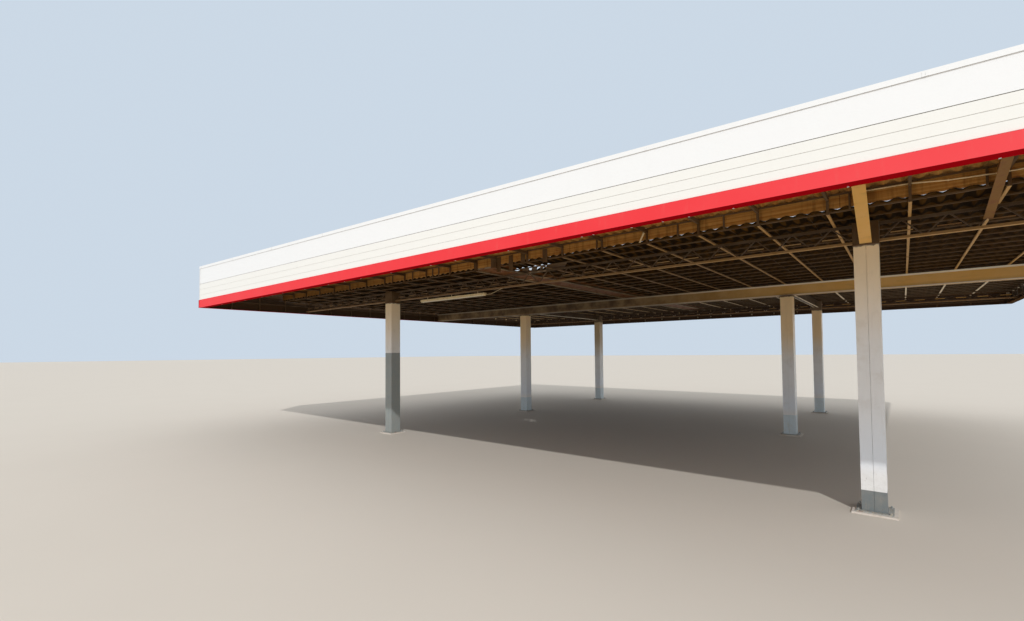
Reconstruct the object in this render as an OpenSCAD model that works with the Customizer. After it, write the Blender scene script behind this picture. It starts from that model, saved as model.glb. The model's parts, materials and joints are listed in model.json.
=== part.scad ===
// Filling station canopy: six box columns, two lattice girders and a box girder carry an open
// roof of wavy sheets, framed by a deep tapered fascia: a flat panel, three boards and a red band.
// The origin lies on the ground at the middle of the plan. X runs along the front, Y to the back.

/* [Plan] */
// Length of the canopy along its front
canopy_length = 25680; // [24600:10:27000]
// Depth of the canopy from front to back
canopy_depth = 22700; // [22300:10:24000]
// Distance from either end of the canopy to the nearest column line
side_overhang = 6840; // [6400:10:7200]
// How far the front right column stands outside its line
front_right_offset = 2700; // [2500:10:2900]
// Distance from the front of the canopy to the front row of columns
front_overhang = 4450; // [4300:10:4700]
// Distance from the back of the canopy to the back row of columns
back_overhang = 2200; // [2000:10:2500]
// Distance from the back row to the middle row of columns
back_bay = 7700; // [7300:10:8100]

/* [Columns] */
// Width of a column, seen from the front
column_width = 380; // [320:10:460]
// Depth of a column, seen from the side
column_depth = 400; // [340:10:480]
// Sheet thickness of the two channels that form a column
channel_wall = 6; // [4:1:10]
// Depth of the turned-in lips at the column's seam
channel_lip = 30; // [20:1:50]
// Open seam between the two channels
seam_gap = 4; // [2:1:8]
// Level of the column's top
column_top = 4970; // [4800:10:5200]
// Side of the square base plate
base_plate_side = 560; // [540:10:620]
// Thickness of the base plate
base_plate_thickness = 20; // [15:1:40]
// Side of the mortar pad under the base plate
base_pad_side = 680; // [640:10:800]
// Height of the mortar pad
base_pad_height = 30; // [20:5:60]
// Distance between anchor holes
anchor_spacing = 480; // [465:5:500]
// Diameter of an anchor hole
anchor_hole = 26; // [20:1:32]
// Thickness of the plate on the column's top
cap_plate_thickness = 20; // [10:1:30]
// How far the cap plate stands out past the column
cap_plate_overhang = 15; // [5:1:30]
// Width of the stub above the cap plate
head_width = 400; // [320:10:410]

/* [Girders] */
// Depth of the girders on the columns
girder_depth = 410; // [340:10:460]
// Width of the middle box girder's flanges
beam_width = 220; // [160:10:300]
// Thickness of the box girder's flanges
beam_flange = 14; // [8:1:25]
// Width over the box girder's two webs
beam_web_width = 180; // [120:10:200]
// Height of a lattice girder's chord
chord_height = 45; // [35:5:80]
// Width of a lattice girder's chord
chord_width = 80; // [60:5:140]
// Sheet thickness of a chord
chord_wall = 6; // [4:1:10]
// Thickness of the lattice bars
lattice_bar = 22; // [18:2:50]
// Distance between two feet of the lattice's zigzag
lattice_panel = 670; // [560:10:900]
// How far the lattice girder's lower chord lies over the cap plate
chord_lift = 40; // [10:5:60]

/* [Roof frame] */
// Distance between two rafters
rafter_pitch = 1120; // [1080:10:1140]
// Distance between the two middle rafters, over the open joint of the roof
centre_gap = 760; // [600:10:800]
// Height of a rafter
rafter_height = 30; // [30:5:60]
// Width of a rafter
rafter_width = 45; // [40:5:80]
// Width of each of the two middle rafters
centre_rafter_width = 110; // [80:5:140]
// Depth of the raised eave at the front
front_eave_depth = 3290; // [3000:10:3500]
// Depth of the raised eave at the back
back_eave_depth = 1090; // [900:10:1300]
// Height of a purlin
purlin_height = 25; // [20:5:40]
// Width of a purlin
purlin_width = 40; // [30:5:60]
// Greatest distance between two purlins
purlin_pitch = 700; // [560:10:900]
// Rise of the eave rafters over the main rafters
eave_rise = 240; // [230:10:270]
// Height of an eave rafter
eave_rafter_height = 80; // [60:5:90]
// Side of the posts that carry the eave rafters
eave_post_side = 40; // [40:5:60]

/* [Roof sheets] */
// Distance between two waves of the sheet
wave_pitch = 228; // [170:1:240]
// Height of a wave
wave_height = 50; // [30:1:56]
// Sheet thickness
sheet_thickness = 6; // [4:1:8]
// How far the eave sheets reach over the main sheets
sheet_overlap = 160; // [100:10:300]
// Thickness of the flashings
flashing_thickness = 6; // [4:1:10]
// How deep the step flashing's lower edge dips into each valley of the sheet
flashing_dip = 28; // [10:1:29]

/* [Fascia] */
// Level of the fascia's lower edge
fascia_bottom = 4950; // [4900:10:4960]
// Height of the fascia at the left end
fascia_left_height = 1680; // [1300:10:1900]
// Height of the fascia at the right end
fascia_right_height = 950; // [940:10:1200]
// Thickness of the panels and boards
board_thickness = 40; // [30:1:60]
// Open groove between two boards
groove = 10; // [6:1:20]
// How far the red band stands out from the boards
band_proud = 20; // [10:1:40]
// Depth of the red band's return underneath
band_return = 200; // [150:10:260]
// Thickness of the red band's sheet
band_thickness = 8; // [5:1:12]
// How far the cap flashing stands out from the panel
cap_proud = 12; // [6:1:30]
// Width of the bars in the frame behind the fascia
frame_bar = 50; // [40:5:70]

/* [Brackets and lights] */
// Width of a bracket's lower flange
bracket_width = 185; // [140:5:220]
// Width of the second bracket's lower flange
second_bracket_width = 120; // [80:5:180]
// Thickness of a bracket's plates
bracket_plate = 14; // [8:1:20]
// Slope of a bracket's lower edge, in degrees
bracket_slope = 23.5; // [21:0.5:26]
// Slope of the second bracket's lower edge, in degrees
second_bracket_slope = 11; // [9.5:0.5:11.5]
// How far the second bracket stands to the right of the first
second_bracket_offset = 1640; // [1500:10:1660]
// Level of the second bracket's foot over the column's cap plate
second_bracket_foot = 190; // [150:10:190]
// Length of the front light batten
front_light_length = 3100; // [2400:50:3600]
// Length of each side light batten
side_light_length = 2600; // [1200:50:3000]
// Width of a light batten
light_width = 130; // [100:5:160]
// Height of a light batten
light_height = 60; // [50:5:80]

/* [Hidden] */

overlap = 1;
half_length = canopy_length / 2;
half_depth = canopy_depth / 2;
column_line_x = half_length - side_overhang;
front_row_y = front_overhang - half_depth;
back_row_y = half_depth - back_overhang;
middle_row_y = back_row_y - back_bay;
rafter_front_y = front_eave_depth - half_depth;
rafter_back_y = half_depth - back_eave_depth;
front_right_x = column_line_x + front_right_offset;
front_columns = [[-column_line_x, front_row_y], [front_right_x, front_row_y]];
middle_columns = [[-column_line_x, middle_row_y], [column_line_x, middle_row_y]];
back_columns = [[-column_line_x, back_row_y], [column_line_x, back_row_y]];
all_columns = concat(front_columns, middle_columns, back_columns);

column_foot = base_pad_height + base_plate_thickness;
girder_bottom = column_top + cap_plate_thickness;
girder_top = girder_bottom + girder_depth;
rafter_top = girder_top + rafter_height;
sheet_bottom = rafter_top + purlin_height;
eave_bottom = girder_top + eave_rise;
eave_top = eave_bottom + eave_rafter_height;
eave_sheet_bottom = eave_top + purlin_height;
frame_front = half_depth - board_thickness;
frame_back = frame_front - frame_bar;
frame_side = half_length - board_thickness;
frame_inside = frame_side - frame_bar;
sheet_gap = 20;
wave_points = 6;
half_rafter_xs = [for (x = [centre_gap / 2 : rafter_pitch : frame_inside - rafter_pitch / 2]) x];
all_rafter_xs = concat(-reversed(half_rafter_xs), half_rafter_xs);
rafter_xs = [for (x = all_rafter_xs) if (abs(x) > centre_gap / 2) x];
centre_xs = [-centre_gap / 2, centre_gap / 2];
gutter_inner = centre_gap / 2 - centre_rafter_width / 4;
gutter_clearance = 2;

line_beam_height = 308;
front_light_place = 3300;
front_light_x = front_light_place - column_line_x;
light_drop = 100;
light_level = girder_bottom - light_drop;
side_light_bay = 7;
side_light_x = centre_gap / 2 + side_light_bay * rafter_pitch;
side_light_y = middle_row_y + beam_width + side_light_length / 2;
drop_rod_diameter = 16;
drop_rod_share = 0.4;
tube_diameter = 26;
tube_inset = 20;

// Shares of the fascia's height, from its lower edge: red band, three boards, panel and cap.
band_share = 0.186;
board_shares = [0.186, 0.302, 0.435, 0.569];
cap_share = 0.943;
fascia_slope = (fascia_right_height - fascia_left_height) / canopy_length;

function fascia_height(x) = fascia_left_height + fascia_slope * (x + half_length);
function level(x, share) = fascia_bottom + fascia_height(x) * share;

// Draws a profile given as [x, z] and pulls it from y0 to y1.
module along_y(y0, y1) {
    translate([0, y1, 0]) rotate([90, 0, 0]) linear_extrude(y1 - y0) children();
}

// Draws a profile given as [y, z] and pulls it from x0 to x1.
module along_x(x0, x1) {
    translate([x0, 0, 0]) rotate([90, 0, 90]) linear_extrude(x1 - x0) children();
}

// A box from its lowest to its highest corner.
module block(low, high) {
    translate(low) cube(high - low);
}

// One lipped channel, open towards -X, with its web outside.
module channel_outline() {
    half = column_width / 2;
    inner = seam_gap / 2;
    out = column_depth / 2;
    polygon([
        [inner, -out], [half, -out], [half, out], [inner, out],
        [inner, out - channel_lip], [inner + channel_wall, out - channel_lip],
        [inner + channel_wall, out - channel_wall], [half - channel_wall, out - channel_wall],
        [half - channel_wall, channel_wall - out], [inner + channel_wall, channel_wall - out],
        [inner + channel_wall, channel_lip - out], [inner, channel_lip - out]
    ]);
}

module column(place) {
    color("whitesmoke") translate([place.x, place.y, column_foot])
        linear_extrude(column_top - column_foot) {
            channel_outline();
            mirror([1, 0]) channel_outline();
        }
}

module anchor_places() {
    for (x = [-1, 1], y = [-1, 1])
        translate([x * anchor_spacing / 2, y * anchor_spacing / 2, 0]) children();
}

module base_pads() {
    color("silver") for (place = all_columns) translate([place.x, place.y, 0])
        difference() {
            translate([-base_pad_side / 2, -base_pad_side / 2, 0])
                cube([base_pad_side, base_pad_side, base_pad_height]);
            anchor_places() translate([0, 0, -overlap])
                cylinder(d = anchor_hole, h = base_pad_height + 2 * overlap, $fn = 32);
        }
}

module base_plates() {
    color("slategray") for (place = all_columns) translate([place.x, place.y, base_pad_height])
        difference() {
            translate([-base_plate_side / 2, -base_plate_side / 2, 0])
                cube([base_plate_side, base_plate_side, base_plate_thickness]);
            anchor_places() translate([0, 0, -overlap])
                cylinder(d = anchor_hole, h = base_plate_thickness + 2 * overlap, $fn = 32);
        }
}

// Cap plates on every column. Those in the outer rows carry a stub between the girder's spans.
module column_heads() {
    plate = [column_width + 2 * cap_plate_overhang, column_depth + 2 * cap_plate_overhang];
    color("saddlebrown") {
        for (place = all_columns)
            block([place.x - plate.x / 2, place.y - plate.y / 2, column_top],
                [place.x + plate.x / 2, place.y + plate.y / 2, girder_bottom]);
        for (place = concat(front_columns, back_columns)) head_stub(place);
    }
}

// The rough upper end of a column: two webs joined by a front and a back plate.
module head_stub(place) {
    difference() {
        block([place.x - head_width / 2, place.y - column_depth / 2, girder_bottom - overlap],
            [place.x + head_width / 2, place.y + column_depth / 2, girder_top]);
        block([place.x - head_width / 2 + channel_wall * 2,
                place.y - column_depth / 2 + channel_wall * 2, girder_bottom],
            [place.x + head_width / 2 - channel_wall * 2,
                place.y + column_depth / 2 - channel_wall * 2, girder_top + overlap]);
    }
}

// A bar of the lattice from one [x, z] point to another.
module lattice_line(from, to) {
    run = to - from;
    translate(from) rotate(atan2(run.y, run.x)) translate([0, -lattice_bar / 2])
        square([norm(run), lattice_bar]);
}

// A chord: a channel laid on its web, open towards the lattice. Up is 1 for the lower chord.
module chord(x0, x1, y, z, up) {
    half = chord_width / 2;
    along_x(x0, x1) translate([y, z]) scale([1, up]) polygon([
        [-half, 0], [half, 0], [half, chord_height], [half - chord_wall, chord_height],
        [half - chord_wall, chord_wall], [chord_wall - half, chord_wall],
        [chord_wall - half, chord_height], [-half, chord_height]
    ]);
}

// One span of a lattice girder: two chords and a zigzag of bars that ends on their webs.
module lattice_span(x0, x1, y) {
    low = girder_bottom + chord_lift;
    panels = round((x1 - x0) / lattice_panel);
    step = (x1 - x0) / panels;
    lower = low + chord_wall + lattice_bar / 2;
    upper = girder_top - chord_wall - lattice_bar / 2;
    along_y(y - lattice_bar / 2, y + lattice_bar / 2) intersection() {
        union() for (k = [0 : panels - 1]) {
            lattice_line([x0 + k * step, lower], [x0 + (k + 0.5) * step, upper]);
            lattice_line([x0 + (k + 0.5) * step, upper], [x0 + (k + 1) * step, lower]);
        }
        translate([x0, low + chord_wall - overlap])
            square([x1 - x0, girder_top - low - 2 * (chord_wall - overlap)]);
    }
    chord(x0, x1, y, low, 1);
    chord(x0, x1, y, girder_top, -1);
}

module lattice_girder(columns) {
    y = columns[0].y;
    ends = [-frame_inside, columns[0].x - head_width / 2, columns[0].x + head_width / 2,
        columns[1].x - head_width / 2, columns[1].x + head_width / 2, frame_inside];
    color("saddlebrown") for (k = [0 : 2 : 4]) lattice_span(ends[k], ends[k + 1], y);
}

module middle_girder() {
    color("peru") {
        for (z = [girder_bottom, girder_top - beam_flange])
            block([-frame_inside, middle_row_y - beam_width / 2, z],
                [frame_inside, middle_row_y + beam_width / 2, z + beam_flange]);
        block([-frame_inside, middle_row_y - beam_web_width / 2, girder_bottom + beam_flange - overlap],
            [frame_inside, middle_row_y + beam_web_width / 2, girder_top - beam_flange + overlap]);
    }
}

// I beams on the column lines, from the middle girder to the back columns.
module column_line_beams() {
    width = beam_web_width;
    height = line_beam_height;
    top = girder_top;
    web = beam_flange;
    color("saddlebrown") for (x = [-column_line_x, column_line_x])
        along_y(middle_row_y + beam_width / 2, back_row_y - column_depth / 2) {
            for (z = [top - height, top - beam_flange])
                translate([x - width / 2, z]) square([width, beam_flange]);
            translate([x - web / 2, top - height]) square([web, height]);
        }
}

// A channel section that opens to the side given by its sign, its lowest corner line at z.
module channel_section(x, z, width, height, wall, side) {
    translate([x, z]) scale([side, 1]) translate([-width / 2, 0]) polygon([
        [0, 0], [width, 0], [width, wall], [wall, wall],
        [wall, height - wall], [width, height - wall], [width, height], [0, height]
    ]);
}

module roof_rafters() {
    color("saddlebrown") along_y(rafter_front_y, rafter_back_y)
        for (x = rafter_xs)
            channel_section(x, girder_top, rafter_width, rafter_height, channel_wall, -sign(x));
}

module centre_rafters() {
    color("peru") along_y(rafter_front_y, rafter_back_y)
        for (x = centre_xs)
            channel_section(x, girder_top, centre_rafter_width, rafter_height, channel_wall, sign(x));
}

module eave_rafters() {
    spans = [[-frame_back, rafter_front_y - eave_post_side],
        [rafter_back_y + eave_post_side, frame_back]];
    color("peru") for (span = spans) along_y(span[0], span[1])
        for (x = all_rafter_xs)
            channel_section(x, eave_bottom, eave_post_side, eave_rafter_height, channel_wall, -sign(x));
}

// Posts on the ends of the main rafters, up to the underside of the eave purlins.
module eave_posts() {
    color("saddlebrown") for (x = all_rafter_xs,
        y = [rafter_front_y - eave_post_side, rafter_back_y])
        block([x - eave_post_side / 2, y, girder_top],
            [x + eave_post_side / 2, y + eave_post_side, eave_top]);
}

// A tapered bracket from the front row to the fascia frame: deep at its foot, shallow outside.
module bracket(x, foot_y, foot_z, width, slope) {
    rise = eave_bottom - foot_z;
    knee = foot_y - rise / tan(slope);
    inner_top = girder_top + rafter_height / 2;
    step = rafter_front_y - eave_post_side;
    along_x(x - bracket_plate / 2, x + bracket_plate / 2) polygon([
        [foot_y, foot_z], [foot_y, inner_top], [step, inner_top], [step, eave_top],
        [-frame_back, eave_top], [-frame_back, eave_bottom], [knee, eave_bottom]
    ]);
    along_x(x - width / 2, x + width / 2) polygon([
        [foot_y, foot_z], [foot_y, foot_z + bracket_plate],
        [knee, eave_bottom + bracket_plate], [-frame_back, eave_bottom + bracket_plate],
        [-frame_back, eave_bottom], [knee, eave_bottom]
    ]);
}

module front_brackets() {
    color("peru") {
        bracket(front_right_x, front_row_y - column_depth / 2, girder_bottom,
            bracket_width, bracket_slope);
        bracket(front_right_x + second_bracket_offset, front_row_y - chord_width / 2,
            girder_bottom + second_bracket_foot, second_bracket_width, second_bracket_slope);
    }
}

module purlin_line(x0, x1, y, z, height) {
    block([x0, y - purlin_width / 2, z], [x1, y + purlin_width / 2, z + height]);
}

// Places of evenly spread purlins from y0 to y1, no further apart than their pitch.
function purlin_ys(y0, y1, pitch) =
    let (count = ceil((y1 - y0) / pitch)) [for (k = [0 : count]) y0 + k * (y1 - y0) / count];

module roof_purlins() {
    color("saddlebrown")
        for (y = purlin_ys(rafter_front_y + purlin_width, rafter_back_y - purlin_width, purlin_pitch)) {
            purlin_line(gutter_inner, frame_inside, y, rafter_top, purlin_height);
            purlin_line(-frame_inside, -gutter_inner, y, rafter_top, purlin_height);
        }
}

module eave_purlins() {
    front = [purlin_width - frame_back, rafter_front_y - eave_post_side / 2];
    back = [rafter_back_y + eave_post_side / 2, frame_back - purlin_width];
    color("saddlebrown") for (span = [front, back])
        for (y = purlin_ys(span[0], span[1], 2 * purlin_pitch))
            purlin_line(-frame_inside, frame_inside, y, eave_top, purlin_height);
}

// One face of a wavy sheet with n waves, as [x, z] points.
function wave_line(x0, z, n) = [for (k = [0 : n * wave_points])
    [x0 + k * wave_pitch / wave_points, z + wave_height * (1 - cos(k * 360 / wave_points)) / 2]];

function reversed(list) = [for (k = [len(list) - 1 : -1 : 0]) list[k]];

// A wavy sheet that fills the width from x0 to x1 with whole waves, in the middle of it.
module wavy_sheet(x0, x1, z) {
    n = floor((x1 - x0) / wave_pitch);
    start = (x0 + x1 - n * wave_pitch) / 2;
    polygon(concat(wave_line(start, z + sheet_thickness, n), reversed(wave_line(start, z, n))));
}

// The width that the wavy sheets of one half of the main roof have to fill, as [x0, x1].
function half_width(side) =
    let (outer = frame_inside - sheet_gap) side > 0 ? [gutter_inner, outer] : [-outer, -gutter_inner];

module half_sheets(side, y0, y1, z) {
    width = half_width(side);
    color("dimgray") along_y(y0, y1) wavy_sheet(width[0], width[1], z);
}

module eave_sheets(y0, y1) {
    color("dimgray") along_y(y0, y1)
        wavy_sheet(sheet_gap - frame_inside, frame_inside - sheet_gap, eave_sheet_bottom);
}

// The lower edge of a flashing on a sheet whose upper face is the given line. It touches the crests
// and leaves a slot of daylight in each valley.
function dip_line(line, crest) = [for (p = line)
    [p.x, crest - (crest - p.y) * flashing_dip / wave_height]];

// The points along the upper face of one half's wavy sheet.
function half_wave_line(side) =
    let (width = half_width(side), n = floor((width[1] - width[0]) / wave_pitch))
    wave_line((width[0] + width[1] - n * wave_pitch) / 2, sheet_bottom + sheet_thickness, n);

// Upright strips that close the step between the main roof and the raised eaves, over the waves.
module step_flashings() {
    crest = sheet_bottom + sheet_thickness + wave_height;
    edge = dip_line(concat(half_wave_line(-1), half_wave_line(1)), crest);
    color("rosybrown") for (y = [rafter_front_y, rafter_back_y - flashing_thickness])
        along_y(y, y + flashing_thickness) polygon(concat(edge, [
            [edge[len(edge) - 1].x, eave_sheet_bottom], [edge[0].x, eave_sheet_bottom]
        ]));
}

// The trough between the two halves of the main roof, on the inner flanges of the middle rafters.
module centre_gutter() {
    out = gutter_inner - gutter_clearance;
    inside = out - flashing_thickness;
    floor_top = rafter_top + flashing_thickness;
    color("rosybrown") along_y(rafter_front_y + flashing_thickness, rafter_back_y - flashing_thickness)
        polygon([
            [-out, rafter_top], [out, rafter_top], [out, sheet_bottom], [inside, sheet_bottom],
            [inside, floor_top], [-inside, floor_top], [-inside, sheet_bottom], [-out, sheet_bottom]
        ]);
}

// A board of the front or back fascia between two shares of its tapering height.
module tapered_board(low, high, gap) {
    polygon([
        [-half_length, level(-half_length, low) + gap], [half_length, level(half_length, low) + gap],
        [half_length, level(half_length, high)], [-half_length, level(-half_length, high)]
    ]);
}

// Places what is drawn for the front fascia at the front or, turned over, at the back.
module front_or_back(back) {
    if (back) mirror([0, 1, 0]) children();
    else children();
}

module long_panel(back) {
    color("white") front_or_back(back) along_y(-half_depth, -frame_front)
        tapered_board(board_shares[3], 1, groove);
}

module long_boards(back) {
    color("ivory") front_or_back(back) along_y(-half_depth, -frame_front)
        for (k = [0 : 2]) tapered_board(board_shares[k], board_shares[k + 1], groove);
}

module long_band(back) {
    color("crimson") front_or_back(back) {
        along_y(-half_depth - band_proud, -frame_front)
            tapered_board(0, band_share, 0);
        block([-half_length, -frame_front - overlap, fascia_bottom],
            [half_length, band_return - half_depth - band_proud, fascia_bottom + band_thickness]);
    }
}

// The bar frame behind a long fascia: a tapered sheet outline with its windows cut out.
module long_frame(back) {
    low = fascia_bottom + band_thickness;
    edge = frame_inside - frame_bar / 2;
    posts = concat([-edge], all_rafter_xs, [edge]);
    rails = [board_shares[0], board_shares[3], 1];
    color("saddlebrown") front_or_back(back) along_y(-frame_front, -frame_back) difference() {
        polygon([
            [-frame_inside, low], [frame_inside, low],
            [frame_inside, level(frame_inside, 1)], [-frame_inside, level(-frame_inside, 1)]
        ]);
        for (k = [0 : len(posts) - 2]) {
            x0 = posts[k] + frame_bar / 2;
            x1 = posts[k + 1] - frame_bar / 2;
            polygon([
                [x0, low - overlap], [x1, low - overlap],
                [x1, level(x1, rails[0]) - frame_bar], [x0, level(x0, rails[0]) - frame_bar]
            ]);
            for (j = [0, 1]) polygon([
                [x0, level(x0, rails[j])], [x1, level(x1, rails[j])],
                [x1, level(x1, rails[j + 1]) - frame_bar], [x0, level(x0, rails[j + 1]) - frame_bar]
            ]);
        }
    }
}

// A board of the left or right fascia, whose height is the same all along.
module end_board(side, low, high, gap) {
    x = side * half_length;
    block([min(x, side * frame_side), -frame_front, level(x, low) + gap],
        [max(x, side * frame_side), frame_front, level(x, high)]);
}

module end_panel(side) {
    color("white") end_board(side, board_shares[3], 1, groove);
}

module end_boards(side) {
    color("ivory") for (k = [0 : 2])
        end_board(side, board_shares[k], board_shares[k + 1], groove);
}

module end_band(side) {
    outside = side * (half_length + band_proud);
    inside = side * (half_length + band_proud - band_return);
    return_end = half_depth + band_proud - band_return;
    color("crimson") {
        block([min(outside, side * frame_side), -half_depth - band_proud, fascia_bottom],
            [max(outside, side * frame_side), half_depth + band_proud, level(side * half_length, band_share)]);
        block([min(inside, side * (frame_side + overlap)), -return_end, fascia_bottom],
            [max(inside, side * (frame_side + overlap)), return_end, fascia_bottom + band_thickness]);
    }
}

module end_frame(side) {
    x = side * half_length;
    low = fascia_bottom + band_thickness;
    high = level(x, 1);
    count = round(2 * frame_back / rafter_pitch);
    color("saddlebrown")
        along_x(min(side * frame_side, side * frame_inside), max(side * frame_side, side * frame_inside)) {
            for (k = [0 : count])
                translate([-frame_front + k * (2 * frame_front - frame_bar) / count, low])
                    square([frame_bar, high - low]);
            for (z = [level(x, board_shares[0]), level(x, board_shares[3]), high - frame_bar])
                translate([-frame_front, z]) square([2 * frame_front, frame_bar]);
        }
}

// The cap flashing of a long fascia: a plate over the frame, folded down over the panel's face.
module long_cap(back) {
    front_or_back(back) {
        along_y(-half_depth - cap_proud, -frame_back) polygon([
            [-half_length, level(-half_length, 1)], [half_length, level(half_length, 1)],
            [half_length, level(half_length, 1) + flashing_thickness],
            [-half_length, level(-half_length, 1) + flashing_thickness]
        ]);
        along_y(-half_depth - cap_proud, -half_depth) tapered_board(cap_share, 1, 0);
    }
}

// The cap flashing of an end fascia. Its folded face closes both corners.
module end_cap(side) {
    face = side * half_length;
    outside = face + side * cap_proud;
    inside = side * frame_inside;
    high = level(face, 1) + flashing_thickness;
    corner = half_depth + cap_proud;
    block([min(outside, inside), -frame_back, level(face, 1)], [max(outside, inside), frame_back, high]);
    block([min(outside, face), -corner, level(face, cap_share)], [max(outside, face), corner, high]);
}

module fascia_caps() {
    color("gainsboro") {
        for (back = [false, true]) long_cap(back);
        for (side = [-1, 1]) end_cap(side);
    }
}

// A batten light hung by rods from a level above it, its length along X.
module batten(length, drop) {
    block([-length / 2, -light_width / 2, 0], [length / 2, light_width / 2, light_height]);
    for (x = [-1, 0, 1]) translate([x * length * drop_rod_share, 0, light_height - overlap])
        cylinder(d = drop_rod_diameter, h = drop + overlap, $fn = 16);
}

// Places what is drawn for a batten under the front girder, and twice on the right behind the
// middle girder, end to end under the second rafter past the column line.
module front_batten_place() {
    translate([front_light_x, front_row_y, light_level]) children();
}

module side_batten_places() {
    for (k = [0, 1])
        translate([side_light_x, side_light_y + k * (side_light_length + light_width), light_level])
            rotate([0, 0, 90]) children();
}

module light_battens() {
    color("wheat") {
        front_batten_place()
            batten(front_light_length, girder_bottom + chord_lift - light_level - light_height);
        side_batten_places()
            batten(side_light_length, girder_top - light_level - light_height);
    }
}

module tube_pair(length) {
    for (y = [-light_width / 4, light_width / 4])
        translate([tube_inset - length / 2, y, -tube_diameter / 2]) rotate([0, 90, 0])
            cylinder(d = tube_diameter, h = length - 2 * tube_inset, $fn = 16);
}

module light_tubes() {
    color("white") {
        front_batten_place() tube_pair(front_light_length);
        side_batten_places() tube_pair(side_light_length);
    }
}

base_pads();
base_plates();
column(front_columns[0]);  // column_front_left
column(front_columns[1]);  // column_front_right
column(middle_columns[0]);  // column_middle_left
column(middle_columns[1]);  // column_middle_right
column(back_columns[0]);  // column_back_left
column(back_columns[1]);  // column_back_right
column_heads();
lattice_girder(front_columns);  // front_girder
middle_girder();
lattice_girder(back_columns);  // back_girder
column_line_beams();
roof_rafters();
centre_rafters();
eave_rafters();
eave_posts();
front_brackets();
roof_purlins();
eave_purlins();
half_sheets(-1, rafter_front_y, rafter_back_y, sheet_bottom);  // main_roof_sheets_left
half_sheets(1, rafter_front_y, rafter_back_y, sheet_bottom);  // main_roof_sheets_right
eave_sheets(-frame_back, rafter_front_y + sheet_overlap);  // front_eave_sheets
eave_sheets(rafter_back_y - sheet_overlap, frame_back);  // back_eave_sheets
step_flashings();
centre_gutter();
long_panel(false);  // front_fascia_panel
long_boards(false);  // front_fascia_boards
long_band(false);  // front_red_band
long_frame(false);  // front_fascia_frame
long_panel(true);  // back_fascia_panel
long_boards(true);  // back_fascia_boards
long_band(true);  // back_red_band
long_frame(true);  // back_fascia_frame
end_panel(-1);  // left_fascia_panel
end_boards(-1);  // left_fascia_boards
end_band(-1);  // left_red_band
end_frame(-1);  // left_fascia_frame
end_panel(1);  // right_fascia_panel
end_boards(1);  // right_fascia_boards
end_band(1);  // right_red_band
end_frame(1);  // right_fascia_frame
fascia_caps();
light_battens();
light_tubes();
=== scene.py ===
"""Filling station canopy: finishes, small hardware, stage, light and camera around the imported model.

Lengths are in metres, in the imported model's own frame: X along the front, Y to the back, Z up.
"""

import json
import math
import random

import bmesh
import bpy
from mathutils import Matrix, Vector


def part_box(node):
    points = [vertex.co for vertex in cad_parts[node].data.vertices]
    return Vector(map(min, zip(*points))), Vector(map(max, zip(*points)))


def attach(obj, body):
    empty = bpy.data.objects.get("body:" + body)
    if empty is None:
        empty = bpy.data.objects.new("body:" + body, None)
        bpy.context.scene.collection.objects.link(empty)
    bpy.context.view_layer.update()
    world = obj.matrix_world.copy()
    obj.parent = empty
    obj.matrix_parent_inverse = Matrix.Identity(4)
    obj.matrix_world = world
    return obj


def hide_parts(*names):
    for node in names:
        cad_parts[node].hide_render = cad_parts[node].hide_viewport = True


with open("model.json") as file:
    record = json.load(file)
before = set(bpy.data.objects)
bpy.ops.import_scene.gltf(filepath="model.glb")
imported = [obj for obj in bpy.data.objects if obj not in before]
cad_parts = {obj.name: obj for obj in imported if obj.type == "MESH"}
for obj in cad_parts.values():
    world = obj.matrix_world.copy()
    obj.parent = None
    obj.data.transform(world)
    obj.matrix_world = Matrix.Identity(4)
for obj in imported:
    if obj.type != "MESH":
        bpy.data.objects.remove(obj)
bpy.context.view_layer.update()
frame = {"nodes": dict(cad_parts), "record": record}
nodes = frame["nodes"]
dice = random.Random(11)

# Sizes that the finishes and pieces share
grey_foot_top = 0.42
blue_foot_top = 0.72
grey_paint_top = 3.05
flashing_length = 2.4
column_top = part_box("column_front_right")[1].z
girder_low, girder_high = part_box("middle_girder")
girder_line = (girder_low.y + girder_high.y) / 2
flange_edge = (girder_high.y - girder_low.y) / 2 + 0.005
web_face = 0.09
upper_flange = 0.056
lower_flange = 0.032
beam_low, beam_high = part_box("column_line_beams")
beam_inset = 0.1
beam_line = beam_high.x - beam_inset
beam_flange = 0.014
lattice_lines = [(low.y + high.y) / 2 for low, high in (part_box("front_girder"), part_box("back_girder"))]
rafter_low, rafter_high = (corner.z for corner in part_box("roof_rafters"))
chord_depth = 0.046
lower_chord_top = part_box("front_girder")[0].z + chord_depth
sheet_low, sheet_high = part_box("main_roof_sheets_left")

# Stretches of X over which finishes change, and a corner of the second bracket's place. The frame, sheet
# and eave stretches are painted shade that darkens to the left; the red band fades towards the right
frame_shade = (-1.0, 9.0)
sheet_shade = (-8.0, 8.0)
eave_shade = (-9.0, -1.0)
red_fade = (5.0, 13.0)
second_bracket_left = 9.5
second_bracket_back = -6.5

# Roof sheets as they are laid
wave_pitch = 0.228
wave_height = 0.05
wave_steps = 6
sheet_waves = 3
sheet_metal = 0.006
lap_lift = 0.009
row_pitch = 0.68
row_lap = 0.12
row_slip = 0.012
rows = math.ceil((sheet_high.y - sheet_low.y - row_lap) / row_pitch)
laid_pitch = (sheet_high.y - sheet_low.y - row_lap) / rows
slipped_sheets = {"roof_rows_right": {1: (0, 1)}}
slip_back = 0.62
slip_rise = 0.004

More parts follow.
